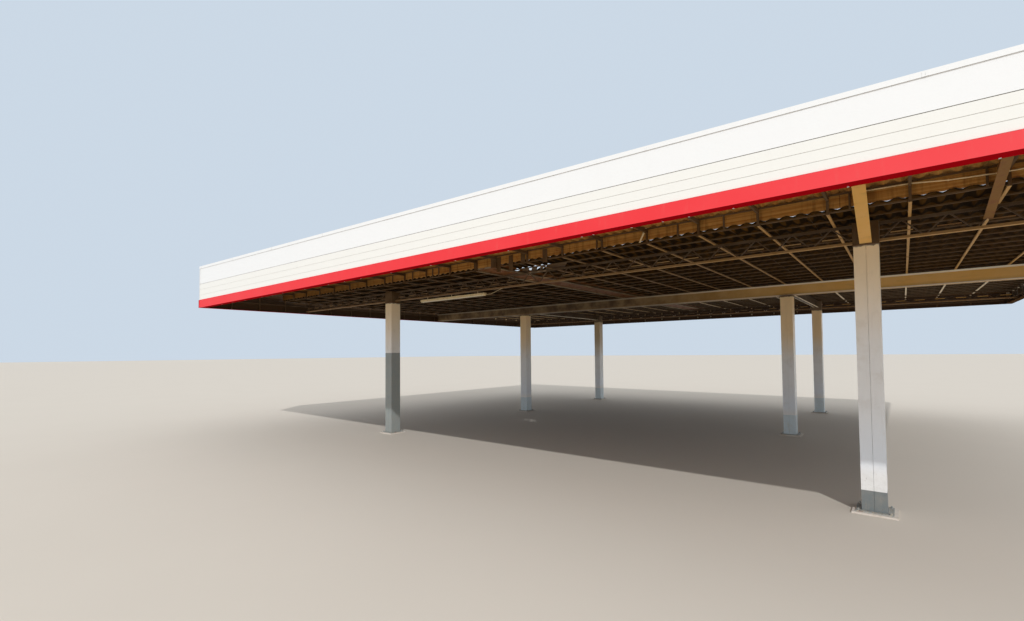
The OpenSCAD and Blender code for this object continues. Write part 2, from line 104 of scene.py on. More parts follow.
# Places and sizes of the small fittings. Rows of numbers give
# anchor_parts: bottom and top over the base plate, radius and sides of stud, washer and nut
# strap_places: X, bottom and top; strut_ends and conduit_route: X and Z
# clip_parts: Y and Z from the lip's inner edge, low then high
# groove_depths: share of the fascia's height, depth
# supply_route: X from the light's end cap, Z from its underside
column_names = [name for name in nodes
                if name.startswith(("column_front_", "column_middle_", "column_back_"))]
column_places = [((low.x + high.x) / 2, (low.y + high.y) / 2)
                 for low, high in (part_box(name) for name in column_names)]
fine_edge = 0.001
thick_edge = 0.002
washer_setback = 0.05
washer_levels = (0.008, 0.02)
washer_radii = (0.019, 0.006)
anchor_reach = 0.24
anchor_parts = ((-0.045, 0.036, 0.0115, 12), (0.0, 0.004, 0.022, 16), (0.0042, 0.024, 0.0195, 6))
weld_bead = 0.008
weld_edge = 0.003
tack_welds = 12
tack_margin = 0.15
tack_half_width = 0.006
tack_half_depth = 0.002
tack_height = 0.035
tack_edge = 0.0012
head_half = 0.2
lattice_panel = 0.67
tie_level = 5.165
tie_height = 0.02
tie_half_length = 0.16
tie_faces = (-0.018, -0.012)
rafter_half = 0.0225
first_rafter = 0.38
rafter_pitch = 1.12
rafters_on_a_side = 11
half_rafters = [first_rafter + k * rafter_pitch for k in range(rafters_on_a_side)]
rafter_places = sorted([-x for x in half_rafters] + half_rafters)
purlin_spaces = 27
purlin_half = 0.02
cleat_half = 0.045
cleat_metal = 0.005
cleat_hang = 0.026
cleat_gap = 0.004
torn_board_spans = ((0.50, 0.75), (0.85, 1.05), (1.15, 1.27), (1.37, 2.05))
torn_board_reach = (0.05, 0.66)
torn_board_slant = -0.815
torn_board_gap = 0.001
torn_board_metal = 0.003
apron_gap = (-7.25, -7.08)
apron_metal = 0.002
apron_inset = 0.002
gutter_end_metal = 0.004
gutter_end_lap = 0.01
post_places = (-4.41, -3.32, -2.32, -2.03, 3.6, 5.55, 6.48, 8.54, 10.23)
post_half = 0.015
post_depth = 0.03
post_gap = 0.02
strap_places = ((-0.42, 5.47, 5.72), (0.25, 5.43, 5.70), (0.48, 5.29, 5.70), (0.92, 5.26, 5.70),
                (1.34, 5.46, 5.72), (2.07, 5.36, 5.70))
strap_half = 0.075
strap_faces = (-0.012, -0.004)
strut_ends = ((4.70, 5.45), (4.85, 5.75))
strut_clearance = 0.05
strut_radius = 0.022
conduit_route = ((8.71, 5.70), (9.35, 5.69), (9.8, 5.635), (10.335, 5.61), (10.9, 5.61), (11.56, 5.63),
                 (12.7, 5.61))
conduit_clearance = 0.014
conduit_radius = 0.011
bend_radius = 0.0112
conduit_clip_half = Vector((0.012, 0.014, 0.014))
conduit_clip_edge = 0.004
seen_clips = (5.06, 5.28, 5.96, 6.46, 6.85, 7.45, 8.73, 10.0)
right_clips = (11.2, 12.1)
clip_spacing = (0.6, 1.5)
first_clip = 0.4
last_clip = 0.3
clip_half = 0.011
clip_parts = ((-0.030, -0.0025, 0.004, 0.0), (0.0, -0.0025, 0.003, 0.030), (-0.022, 0.0081, 0.003, 0.0105))
board_face_x = 12.84
board_face_y = 11.35
fascia_foot = 4.95
fascia_heights = (1.68, 0.95)
band_share = 0.186
cap_share = 0.943
groove_depths = ((band_share, 0.010), (0.302, 0.005), (0.435, 0.005), (0.569, 0.018))
groove_strip_metal = 0.004
groove_strip_rise = (-0.004, 0.014)
trim_metal = 0.004
trim_width = 0.045
trim_gap = 0.002
cap_sheet = 3.15
cap_joints = 4
cap_face = 0.012
cap_strap_half = 0.03
cap_strap_metal = 0.002
cap_strap_edge = 0.0005
rivet_margins = (0.02, 0.024)
rivet_radii = (0.005, 0.002)
rivet_height = 0.003
front_batten = (-2.7, -6.9, 4.89)
front_batten_length = 3.1
batten_end_metal = 0.018
batten_end_half = 0.068
batten_end_rise = (-0.004, 0.064)
batten_end_edge = 0.006
tube_offset = 0.0325
holder_inset = (0.006, 0.022)
holder_half = 0.018
holder_rise = (-0.032, 0.001)
holder_edge = 0.004
supply_radius = 0.007
supply_route = ((0.0, 0.03), (0.10, -0.005), (0.28, 0.01), (0.55, 0.09), (0.80, 0.16))

# Stage and light
floor_reach = 400.0
sun_strength = 1.72
sun_softness = 0.9
sun_height = 36.15
sun_side = 39.3
world_strength = 0.75

# Camera, in metres, degrees and the photograph's pixels
camera_place = Vector((9.18, -18.05, 3.0))
camera_turn = 39.55
camera_lift = 1.96
camera_roll = 0.48
focal_pixels = 473.0
photo_width = 1024
photo_height = 621
centre_row = 337.0

# Colours, as linear red, green and blue
WHITE_PAINT = (0.90, 0.895, 0.885)
# Painted shade: white paint as it looks in the sky's cool shade
SKY_SHADED_WHITE = (0.86, 0.91, 0.98)
TAN_TOP = (0.98, 0.68, 0.34)
PALE_BLUE = (0.70, 0.84, 0.93)
PALE_GREY = (0.27, 0.32, 0.33)
# Yellowed white, warmed further as painted bounce light
WARM_WHITE = (0.98, 0.76, 0.46)
WHITE_PANEL = (0.93, 0.93, 0.925)
BOARD_WHITE = (0.93, 0.915, 0.865)
RED = (0.90, 0.036, 0.045)
FADED_RED = (0.93, 0.10, 0.11)
# Painted shade: the red of the band's return underneath
SHADED_RED = (0.42, 0.003, 0.008)
INSIDE_BROWN = (0.075, 0.040, 0.018)
FOOT_GREY = (0.138, 0.178, 0.202)
OCHRE = (0.83, 0.455, 0.115)
PALE_OCHRE = (0.84, 0.58, 0.28)
BRACKET_BROWN = (0.235, 0.108, 0.020)
# Pale primer on the back bay's rafters, also used as painted highlight on beam edges
PALE_PRIMER_AND_HIGHLIGHT = (0.92, 0.77, 0.54)
# Painted highlight on the girder's flange edges
RIM_HIGHLIGHT = (0.98, 0.90, 0.74)
BROWN = (0.235, 0.120, 0.042)
DARK_BROWN = (0.095, 0.045, 0.011)
RUST = (0.20, 0.062, 0.022)
DARK_RUST = (0.06, 0.022, 0.012)
# Soot, also used as painted shade and shadow on the roof sheets
SOOT_AND_SHADE = (0.010, 0.006, 0.003)
DUST = (0.52, 0.43, 0.31)
GRIME = (0.13, 0.105, 0.08)
MORTAR = (0.80, 0.73, 0.65)
SHEET_UNDER = (0.086, 0.038, 0.005)
# Painted light on the sheets near the front
SHEET_LIT_FRONT = (0.118, 0.054, 0.009)
SHEET_OVER = (0.36, 0.34, 0.30)
EAVE_UNDER = (0.36, 0.158, 0.034)
EAVE_PALE = (0.52, 0.270, 0.075)
ZINC = (0.30, 0.235, 0.15)
RUSTY_ZINC = (0.20, 0.072, 0.014)
LICHEN = (0.10, 0.095, 0.07)
FITTING = (0.80, 0.62, 0.34)
TUBE = (0.88, 0.80, 0.60)
FLOOR = (0.70, 0.635, 0.55)
WORLD_LIGHT = (0.94, 0.97, 1.0)
BACKGROUND = (0.60, 0.69, 0.79)


class Wire:
    """A socket of a material. Arithmetic with numbers or other wires adds Math nodes."""

    def __init__(self, paint, socket):
        self.paint = paint
        self.socket = socket

    def math(self, operation, *values):
        inputs = dict(enumerate(values))
        return self.paint.node("ShaderNodeMath", {"operation": operation}, inputs)

    def __add__(self, other):
        return self.math("ADD", self, other)

    def __radd__(self, other):
        return self.math("ADD", other, self)

    def __sub__(self, other):
        return self.math("SUBTRACT", self, other)

    def __rsub__(self, other):
        return self.math("SUBTRACT", other, self)

    def __mul__(self, other):
        return self.math("MULTIPLY", self, other)

    def __rmul__(self, other):
        return self.math("MULTIPLY", other, self)

    def __truediv__(self, other):
        return self.math("DIVIDE", self, other)

    def __abs__(self):
        return self.math("ABSOLUTE", self)

    def fraction(self):
        return self.math("FRACT", self)

    def step(self, low, high):
        """Goes smoothly from 0 at low to 1 at high."""
        return self.paint.node(
            "ShaderNodeMapRange",
            {"interpolation_type": "SMOOTHSTEP"},
            {"Value": self, "From Min": low, "From Max": high},
        )


class Paint:
    """The node tree of one material."""

    def __init__(self, name):
        self.material = bpy.data.materials.new(name)
        self.material.use_nodes = True
        self.tree = self.material.node_tree
        self.tree.nodes.clear()
        self.where = self.node("ShaderNodeTexCoord", output="Object")
        self.x, self.y, self.z = (
            self.node("ShaderNodeSeparateXYZ", {}, {"Vector": self.where}, axis) for axis in "XYZ"
        )

    def node(self, kind, settings=None, inputs=None, output=0):
        """Adds a node: its settings first, then values or wires for its inputs."""
        made = self.tree.nodes.new(kind)
        for name, value in (settings or {}).items():
            setattr(made, name, value)
        for name, value in (inputs or {}).items():
            if isinstance(value, Wire):
                self.tree.links.new(value.socket, made.inputs[name])
            else:
                made.inputs[name].default_value = value
        return Wire(self, made.outputs[output])

    def back_bay(self):
        """1 behind the middle girder's line, 0 before it."""
        return (self.y - girder_line).step(0.0, 0.3)

    def stretched(self, x, y, z):
        """The place on the object, multiplied along each axis."""
        return self.node("ShaderNodeVectorMath", {"operation": "MULTIPLY"},
                         {0: self.where, 1: (x, y, z)})

    def noise(self, scale, detail=4.0, roughness=0.55, at=None):
        return self.node("ShaderNodeTexNoise", {},
                         {"Vector": at or self.where, "Scale": scale, "Detail": detail,
                          "Roughness": roughness})

    def cells(self, scale, at=None):
        """A random grey for each cell of a Voronoi pattern."""
        colour = self.node("ShaderNodeTexVoronoi", {}, {"Vector": at or self.where, "Scale": scale},
                           "Color")
        return self.node("ShaderNodeSeparateColor", {}, {"Color": colour}, "Red")

    def mix(self, factor, low, high):
        """A colour from low to high."""
        low = (*low, 1) if isinstance(low, tuple) else low
        high = (*high, 1) if isinstance(high, tuple) else high
        return self.node("ShaderNodeMix", {"data_type": "RGBA", "clamp_factor": True},
                         {0: factor, 6: low, 7: high}, 2)

    def facing(self, axis):
        """How far the surface faces along X, Y or Z."""
        normal = self.node("ShaderNodeNewGeometry", output="Normal")
        return self.node("ShaderNodeSeparateXYZ", {}, {"Vector": normal}, axis)

    def downward(self, low, high):
        """Goes from 0 to 1 as a surface turns from its side to face the ground."""
        return (-1 * self.facing("Z")).step(low, high)

    def inside(self):
        """1 on the faces that look in under the roof, 0 on those that look out."""
        normal = self.node("ShaderNodeNewGeometry", output="Normal")
        flat = self.node("ShaderNodeVectorMath", {"operation": "MULTIPLY"},
                         {0: normal, 1: (1, 1, 0)})
        out = self.node("ShaderNodeVectorMath", {"operation": "DOT_PRODUCT"},
                        {0: flat, 1: self.where}, "Value")
        return (-1 * out).step(0.5, 1.5)

    def bump(self, height, distance):
        return self.node("ShaderNodeBump", {},
                         {"Strength": 1.0, "Distance": distance, "Height": height}, "Normal")

    def finish(self, colour, roughness, normal=None, shine=0.5, gloss=0.0):
        """Joins colour, roughness and bump in one surface, and gives the finished material."""
        inputs = {"Base Color": colour, "Roughness": roughness, "Metallic": 0.0,
                  "Specular IOR Level": shine, "Coat Weight": gloss, "Coat Roughness": 0.35}
        if normal:
            inputs["Normal"] = normal
        surface = self.node("ShaderNodeBsdfPrincipled", {}, inputs, "BSDF")
        out = self.tree.nodes.new("ShaderNodeOutputMaterial")
        self.tree.links.new(surface.socket, out.inputs["Surface"])
        return self.material


def streaks(paint, density, length):
    """Runs of dirt down an upright surface: narrow across, long in Z."""
    return paint.noise(density, 3.0, 0.6, paint.stretched(1, 1, 1 / length))


def tone(colour, share):
    """A colour made darker or lighter."""
    return tuple(min(1, c * share) for c in colour)


def mortar():
    paint = Paint("mortar")
    grain = paint.noise(55, 6.0, 0.7)
    patch = paint.noise(5, 3.0)
    colour = paint.mix(grain, MORTAR, tone(MORTAR, 0.75))
    colour = paint.mix(0.5 * patch.step(0.5, 0.72), colour, DUST)
    return paint.finish(colour, 0.9, paint.bump(grain, 0.004))


def base_steel():
    """Worn grey paint, dusty and rusted through in spots."""
    paint = Paint("base_steel")
    rust = (paint.noise(14, 6.0, 0.65) + 0.25 * paint.noise(90)).step(0.68, 0.84)
    colour = paint.mix(paint.noise(6), tone(FOOT_GREY, 1.3), tone(FOOT_GREY, 1.9))
    colour = paint.mix(0.3 + 0.5 * paint.noise(23, 5.0).step(0.4, 0.7), colour, DUST)
    colour = paint.mix(rust, colour, RUST)
    return paint.finish(colour, 0.5 + 0.35 * rust, paint.bump(rust, 0.0015))


def column_paint():
    """White paint, yellowed and warmed by painted bounce light towards the top and tinted cool by painted
    sky shade lower down, with splashes and a foot of another colour.

    The foot is grey at the front right and pale blue in the rows behind, whose tops are smoked tan.
    The front left column is repainted grey up to well over head height.
    """
    paint = Paint("column_paint")
    front = 1 - paint.y.step(girder_line - 1.0, girder_line - 0.9)
    left = 1 - paint.x.step(-0.1, 0.1)
    back = (paint.y - girder_line).step(0.9, 1.0)
    front_top = grey_foot_top + (grey_paint_top - grey_foot_top) * left
    top = blue_foot_top + front * (front_top - blue_foot_top)
    band_edge = top + 0.006 * (paint.noise(30) - 0.5)
    foot = 1 - (paint.z - band_edge).step(-0.002, 0.002)
    runs = streaks(paint, 30, 14).step(0.52, 0.8)
    smudge = paint.noise(3.2, 5.0, 0.6).step(0.5, 0.75)
    splash = (1 - paint.z / 1.3).step(0.0, 1.0) * paint.noise(9, 6.0, 0.65).step(0.42, 0.7)
    # Painted shade: a cool sky tint from about 0.65 m up to 2.6 m; below it the white stays plain where
    # the sun falls
    sky_shade = (1 - (paint.z + 0.3 * paint.noise(1.9, 3.0)).step(0.9, 2.6)) * paint.z.step(0.65, 1.05)
    ragged = paint.z + 0.5 * paint.noise(1.4, 3.0)
    # Yellowing high up, warmed further as painted bounce light from the floor
    yellowing_and_bounce = ragged.step(2.9, 5.1)
    smoked = ragged.step(2.6, 4.3) * (1 - front)
    crown = (paint.z - column_top + 0.09 * paint.noise(13, 4.0)).step(0.0, 0.03)
    white = paint.mix(sky_shade, WHITE_PAINT, SKY_SHADED_WHITE)
    white = paint.mix(0.9 * yellowing_and_bounce, white, WARM_WHITE)
    white = paint.mix(0.85 * smoked, white, paint.mix(back * left, TAN_TOP, tone(TAN_TOP, 0.55)))
    white = paint.mix(0.16 * smudge + 0.12 * runs, white, DUST)
    white = paint.mix(0.15 * splash, white, GRIME)
    white = paint.mix(0.85 * crown, white, DARK_RUST)
    chips = paint.noise(46, 4.0, 0.7).step(0.66, 0.70) * (1 - paint.z / 1.1).step(0.0, 0.7)
    other = paint.mix(front, PALE_BLUE, paint.mix(left, FOOT_GREY, PALE_GREY))
    other = paint.mix(0.35 * paint.noise(7, 5.0), other, DUST)
    other = paint.mix(0.3 * runs, other, DUST)
    colour = paint.mix(foot, white, other)
    colour = paint.mix(chips, colour, RUST)
    wave = paint.noise(2.2, 2.0)
    return paint.finish(colour, 0.32 + 0.25 * smudge + 0.2 * chips,
                        paint.bump(wave + 0.02 * chips, 0.006))


def old_paint(paint, base, light, rust_share, dust, rough=0.55):
    """Old paint on steel: faded in patches, dusty, with rust that blooms through."""
    fade = paint.noise(1.7, 4.0, 0.6)
    fine = paint.noise(38, 5.0, 0.65)
    bloom = paint.noise(2.6, 6.0, 0.62)
    rust = (bloom + 0.16 * (fine - 0.5)).step(0.64 - rust_share, 0.86 - rust_share)
    scale = paint.noise(120, 3.0)
    colour = paint.mix(fade.step(0.3, 0.7), base, light)
    colour = paint.mix(dust * fine, colour, DUST)
    colour = paint.mix(0.7 * rust, colour, paint.mix(scale, RUST, DARK_RUST))
    return paint.finish(colour, rough + 0.3 * rust, paint.bump(rust + 0.4 * scale, 0.0012), shine=0.15)


def ochre_steel():
    """Ochre paint on the box girder and brackets, with painted shade darker to the left and painted
    highlights along the flange edges.

    The second bracket is brown and rusty, and the short ties of the front girder are brown.
    """
    paint = Paint("ochre_steel")
    off_line = abs(paint.y - girder_line)
    girder = 1 - off_line.step(flange_edge, flange_edge + 0.005)
    skin = off_line.step(web_face - 0.004, web_face - 0.002) * girder
    # Painted highlights: pale lines along the girder's flange edges, dimmed by the painted shade to the
    # left
    upper_rim_highlight = (paint.z - girder_high.z + upper_flange).step(0.0, 0.004)
    lower_rim_highlight = 1 - (paint.z - girder_low.z - lower_flange).step(0.0, 0.004)
    foot = (1 - (paint.z - girder_low.z).step(0.03, 0.14)) * girder
    # Painted shade: darker to the left
    shade = 1 - paint.x.step(*frame_shade)
    before = 1 - (paint.y - second_bracket_back).step(0.0, 0.2)
    right = (paint.x - second_bracket_left).step(0.0, 0.2) * before
    streak = paint.noise(1.0, 5.0, 0.65, paint.stretched(2.2, 6.0, 9.0))
    tie = 1 - abs(paint.y - lattice_lines[0]).step(0.03, 0.04)
    base = paint.mix(shade, OCHRE, tone(BROWN, 0.3))
    base = paint.mix(0.35 * foot + 0.3 * streak.step(0.5, 0.8), base, BROWN)
    base = paint.mix(right, base, BRACKET_BROWN)
    base = paint.mix(0.55 * right * paint.noise(6, 5.0).step(0.48, 0.62), base, RUST)
    base = paint.mix(0.85 * tie, base, BROWN)
    base = paint.mix(skin * (upper_rim_highlight + lower_rim_highlight) * (1 - 0.75 * shade), base, RIM_HIGHLIGHT)
    return old_paint(paint, base, paint.mix(0.25 * (1 - right), base, PALE_OCHRE), 0.0, 0.10)


def frame_steel():
    """Worn dark brown paint, with ochre lower chords and rafters.

    Chords and rafters are browner to the left and on their sides, as painted shade. In the back bay the
    rafters are pale, and below them the beams on the column lines, and what is between these, are darkest,
    with thin painted highlights on their lower edges.
    """
    paint = Paint("frame_steel")
    back = paint.back_bay()
    # Painted shade: darker to the left, and on faces that do not look down
    shade = 1 - paint.x.step(*frame_shade)
    side = 1 - paint.downward(0.3, 0.7)
    high = (paint.z - rafter_high).step(0.005, 0.02)
    rafter = (paint.z - rafter_low).step(-0.003, 0.0) * (1 - (paint.z - rafter_high).step(0.0, 0.003))
    chord = 1 - (paint.z - lower_chord_top).step(0.0, 0.004)
    off_girders = 1
    for line in lattice_lines:
        off_girders = off_girders * abs(paint.y - line).step(0.08, 0.10)
    rafters = paint.mix(0.4 + 0.6 * shade, OCHRE, tone(BROWN, 0.8))
    rafters = paint.mix(0.75 * side, rafters, tone(BROWN, 0.5))
    rafters = paint.mix(back, rafters, paint.mix(0.5 * shade, PALE_PRIMER_AND_HIGHLIGHT, OCHRE))
    chords = paint.mix(0.35 + 0.5 * shade, OCHRE, BROWN)
    chords = paint.mix(0.7 * side, chords, tone(BROWN, 0.6))
    chords = paint.mix(0.6 * back, chords, BROWN)
    base = paint.mix(rafter, tone(BROWN, 0.32), rafters)
    base = paint.mix(chord * (1 - off_girders), base, chords)
    base = paint.mix(high + chord * off_girders, base, DARK_BROWN)
    beside = (abs(paint.x) - beam_line).step(0.12, 0.13)
    beam = (1 - beside) * (1 - (paint.z - beam_high.z).step(0.0, 0.005)) * back
    # Painted highlight: thin pale lines along the lower flange edges of the beams
    beam_edge_highlight = 1 - (paint.z - beam_low.z - beam_flange).step(0.0, 0.003)
    beam_edge_highlight = beam_edge_highlight * abs(abs(paint.x) - beam_line).step(0.055, 0.065)
    beams = paint.mix(beam_edge_highlight, tone(DARK_BROWN, 0.55), PALE_PRIMER_AND_HIGHLIGHT)
    base = paint.mix(beam * (1 - chord), base, beams)
    return old_paint(paint, base, paint.mix(0.08, base, DUST), 0.08, 0.08)


def dark_steel():
    """Brown paint under soot, on the purlins and the eave frame, dustier on the back bay's purlins."""
    paint = Paint("dark_steel")
    dusty = paint.back_bay() * (1 - (paint.z - sheet_low.z).step(0.0, 0.02))
    base = paint.mix(0.2 * dusty, DARK_BROWN, DUST)
    return old_paint(paint, base, paint.mix(0.1, base, DUST), 0.05, 0.04, 0.7)


def roof_sheet():
    """Wavy sheets: stained and sooty below, with soot and painted shadow along the laps, painted shade to
    the left and painted light near the front; bleached above.
    """
    paint = Paint("roof_sheet")
    up = paint.facing("Z").step(-0.05, 0.05)
    blotch = paint.noise(1.1, 5.0, 0.6)
    stain = paint.noise(6.5, 6.0, 0.65)
    sheet = paint.cells(1.0, paint.stretched(1.46, 1.48, 0.0))
    runs = paint.noise(7, 3.0, 0.6, paint.stretched(1, 0.12, 1))
    along = ((paint.y - sheet_low.y) / laid_pitch).fraction()
    # Painted shadow with soot: dark bands behind each lap and under the crests
    crest = (paint.z - sheet_low.z).step(0.010, 0.040)
    lap = (along + 0.4 * crest).step(0.70, 0.98) + 1 - along.step(0.0, 0.14)
    # Painted light near the front of the roof, and painted shade to the left
    front = 1 - (paint.y - sheet_low.y).step(0.3, 3.6)
    left = 1 - paint.x.step(*sheet_shade)
    below = paint.mix(0.5 * sheet + 0.5 * blotch, SHEET_UNDER, tone(SHEET_UNDER, 0.35))
    below = paint.mix(0.45 * front * blotch.step(0.3, 0.55), below, SHEET_LIT_FRONT)
    below = paint.mix(0.5 * stain.step(0.6, 0.85), below, RUST)
    below = paint.mix(0.6 * runs.step(0.5, 0.8), below, SOOT_AND_SHADE)
    below = paint.mix(0.55 * left, below, SOOT_AND_SHADE)
    below = paint.mix((0.4 + 0.3 * blotch + 0.3 * front) * lap, below, SOOT_AND_SHADE)
    above = paint.mix(0.6 * sheet, SHEET_OVER, tone(SHEET_OVER, 0.72))
    above = paint.mix(stain.step(0.45, 0.7), above, LICHEN)
    above = paint.mix(0.5 * runs.step(0.5, 0.75), above, GRIME)
    colour = paint.mix(up, below, above)
    grit = paint.noise(85, 4.0)
    return paint.finish(colour, 0.88, paint.bump(grit + stain, 0.002), shine=0.03)


def eave_sheet():
    """Sheets and flashings of the raised eave: warm brown in long stripes, rusty, with dark joints, and
    painted shade darker to the left.
    """
    paint = Paint("eave_sheet")
    up = paint.facing("Z").step(0.3, 0.5)
    stripe = paint.noise(1.0, 4.0, 0.6, paint.stretched(0.3, 3.0, 26.0))
    stain = paint.noise(5.5, 6.0, 0.65)
    joint = abs((paint.x / flashing_length).fraction() - 0.5).step(0.0, 0.004)
    runs = paint.noise(1.0, 5.0, 0.65, paint.stretched(9.0, 1.5, 0.8))
    below = paint.mix(stripe.step(0.35, 0.65), EAVE_UNDER, EAVE_PALE)
    below = paint.mix(0.45 * runs.step(0.45, 0.7), below, DARK_BROWN)
    below = paint.mix(0.6 * stain.step(0.5, 0.8), below, RUST)
    below = paint.mix(0.7 * (1 - joint), below, SOOT_AND_SHADE)
    # Painted shade: darker to the left
    below = paint.mix(0.6 * (1 - paint.x.step(*eave_shade)), below, DARK_BROWN)
    over = paint.mix(stain.step(0.45, 0.7), SHEET_OVER, LICHEN)
    over = paint.mix(0.6 * paint.cells(1.0, paint.stretched(1.1, 0.6, 0.0)), over, GRIME)
    colour = paint.mix(up, below, over)
    return paint.finish(colour, 0.8, paint.bump(stripe + 0.4 * stain, 0.003), shine=0.03)


def zinc_flashing():
    """Dull zinc above, rust below."""
    paint = Paint("zinc_flashing")
    spangle = paint.cells(26)
    stain = paint.noise(5, 6.0, 0.65).step(0.45, 0.7)
    colour = paint.mix(0.35 * spangle, ZINC, tone(ZINC, 0.7))
    colour = paint.mix(0.7 * stain, colour, RUST)
    down = paint.downward(0.1, 0.4)
    colour = paint.mix(down, colour, paint.mix(0.6 * stain, RUSTY_ZINC, DARK_RUST))
    return paint.finish(colour, 0.6 + 0.3 * stain, paint.bump(stain, 0.001), shine=0.15)


def fascia_paint(name, base, dirt_share):
    """Satin sheet: faint pillowing and runs of dirt outside, brown primer inside."""
    paint = Paint(name)
    flat = abs(paint.facing("Z")).step(0.4, 0.6)
    pillow = paint.noise(0.55, 2.0)
    runs = streaks(paint, 9, 8).step(0.5, 0.85)
    patch = paint.noise(1.3, 5.0, 0.6)
    fine = paint.noise(60, 4.0)
    dirt = dirt_share * (runs + 0.5 * patch.step(0.45, 0.8))
    colour = paint.mix(dirt, base, DUST)
    colour = paint.mix(0.5 * flat, colour, GRIME)
    hidden = paint.mix(patch, INSIDE_BROWN, tone(INSIDE_BROWN, 0.5))
    colour = paint.mix(paint.inside(), colour, hidden)
    return paint.finish(colour, 0.4 + 0.3 * dirt, paint.bump(pillow + 0.01 * fine, 0.01), shine=0.3)


def red_band():
    """Satin red sheet, bleached in patches. Its return underneath is dark red as painted shade at the
    front and brown at the back, and its inside is brown.
    """
    paint = Paint("red_band")
    down = paint.downward(0.3, 0.7)
    back = (paint.y - girder_line).step(0.0, 4.0)
    fade = paint.noise(0.9, 4.0, 0.6)
    runs = streaks(paint, 11, 6).step(0.55, 0.85)
    colour = paint.mix(0.5 * fade + 0.6 * paint.x.step(*red_fade), RED, FADED_RED)
    colour = paint.mix(0.10 * runs, colour, DUST)
    # Painted shade on the downward return: dark red at the front, brown at the back
    colour = paint.mix(down, colour, paint.mix(back, SHADED_RED, INSIDE_BROWN))
    colour = paint.mix(paint.inside(), colour, INSIDE_BROWN)
    return paint.finish(colour, 0.42 + 0.15 * fade, paint.bump(paint.noise(0.6, 2.0), 0.01), shine=0.0,
                        gloss=0.3 * (1 - down))


def light_housing():
    paint = Paint("light_housing")
    grime = paint.noise(11, 6.0, 0.65)
    colour = paint.mix(grime.step(0.45, 0.8), FITTING, tone(FITTING, 0.6))
    return paint.finish(colour, 0.4 + 0.2 * grime, paint.bump(grime, 0.0008))


def light_tube():
    paint = Paint("light_tube")
    dust = paint.noise(20, 4.0)
    return paint.finish(paint.mix(0.3 * dust, TUBE, DUST), 0.2 + 0.2 * dust)


materials = {
    "mortar": mortar(),
    "base_steel": base_steel(),
    "column_paint": column_paint(),
    "ochre_steel": ochre_steel(),
    "frame_steel": frame_steel(),
    "dark_steel": dark_steel(),
    "roof_sheet": roof_sheet(),
    "eave_sheet": eave_sheet(),
    "zinc_flashing": zinc_flashing(),
    "white_panel": fascia_paint("white_panel", WHITE_PANEL, 0.02),
    "cream_board": fascia_paint("cream_board", BOARD_WHITE, 0.03),
    "red_band": red_band(),
    "cap_flashing": fascia_paint("cap_flashing", WHITE_PANEL, 0.06),
    "light_housing": light_housing(),
    "light_tube": light_tube(),
}
node_slots = {row["node"]: row["material_slot"] for row in frame["record"]["subparts"]}
for name, node in nodes.items():
    node.data.materials.clear()
    node.data.materials.append(materials[node_slots[name]])


def new_piece(name, bm, slot, *stands_for):
    """Makes a mesh part of the canopy, in the finish of a slot, and in the place of CAD nodes."""
    bmesh.ops.remove_doubles(bm, verts=bm.verts, dist=0.0001)
    bmesh.ops.recalc_face_normals(bm, faces=bm.faces)
    mesh = bpy.data.meshes.new(name)
    bm.to_mesh(mesh)
    bm.free()
    mesh.materials.append(materials[slot])
    piece = bpy.data.objects.new(name, mesh)
    bpy.context.scene.collection.objects.link(piece)
    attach(piece, "root")
    if stands_for:
        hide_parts(*stands_for)


def bevel(bm, verts, width):
    """Takes the sharp edges off what the given points belong to."""
    edges = list({edge for vert in verts for edge in vert.link_edges})
    bmesh.ops.bevel(bm, geom=edges, offset=width, offset_type="OFFSET", affect="EDGES",
                    segments=1, profile=0.5, material=-1)


def block(bm, corner, opposite, edge=0.0):
    """A box between two opposite corners."""
    low = Vector(map(min, corner, opposite))
    high = Vector(map(max, corner, opposite))
    place = Matrix.Translation((low + high) / 2) @ Matrix.Diagonal((*(high - low), 1))
    made = bmesh.ops.create_cube(bm, size=1, matrix=place)["verts"]
    if edge:
        bevel(bm, made, edge)


def rod(bm, start, end, radius, end_radius=None, sides=8):
    """A round bar, or a cone, from one point to another."""
    start, end = Vector(start), Vector(end)
    run = end - start
    turn = Vector((0, 0, 1)).rotation_difference(run).to_matrix().to_4x4()
    bmesh.ops.create_cone(bm, cap_ends=True, segments=sides, radius1=radius,
                          radius2=radius if end_radius is None else end_radius,
                          depth=run.length, matrix=Matrix.Translation((start + end) / 2) @ turn)


def points(geometry):
    """The vertices among what an operator made."""
    return [part for part in geometry if isinstance(part, bmesh.types.BMVert)]


def thicken(bm, faces, push):
    """Turns a sheet of faces into a plate by pulling a copy of it away."""
    made = bmesh.ops.extrude_face_region(bm, geom=faces)["geom"]
    bmesh.ops.translate(bm, vec=push, verts=points(made))


def wavy_sheet(bm, place, first, last, length):
    """A sheet from one wave to another. Its front and left edges are raised to lie on others."""
    width = (last - first) * wave_pitch
    middle = Matrix.Translation(((first + last) / 2 * wave_pitch, length / 2, 0))
    sheet = bmesh.ops.create_grid(
        bm, x_segments=round((last - first) * wave_steps), y_segments=1, size=0.5,
        matrix=middle @ Matrix.Diagonal((width, length, 1, 1)))["verts"]
    for vert in sheet:
        raised = (1 - vert.co.y / length) + (1 - vert.co.x / (last * wave_pitch))
        wave = 1 - math.cos(vert.co.x / wave_pitch * 2 * math.pi)
        vert.co.z = wave_height / 2 * wave + lap_lift * raised
    bmesh.ops.translate(bm, vec=place, verts=sheet)
    thicken(bm, list({face for vert in sheet for face in vert.link_faces}), (0, 0, sheet_metal))


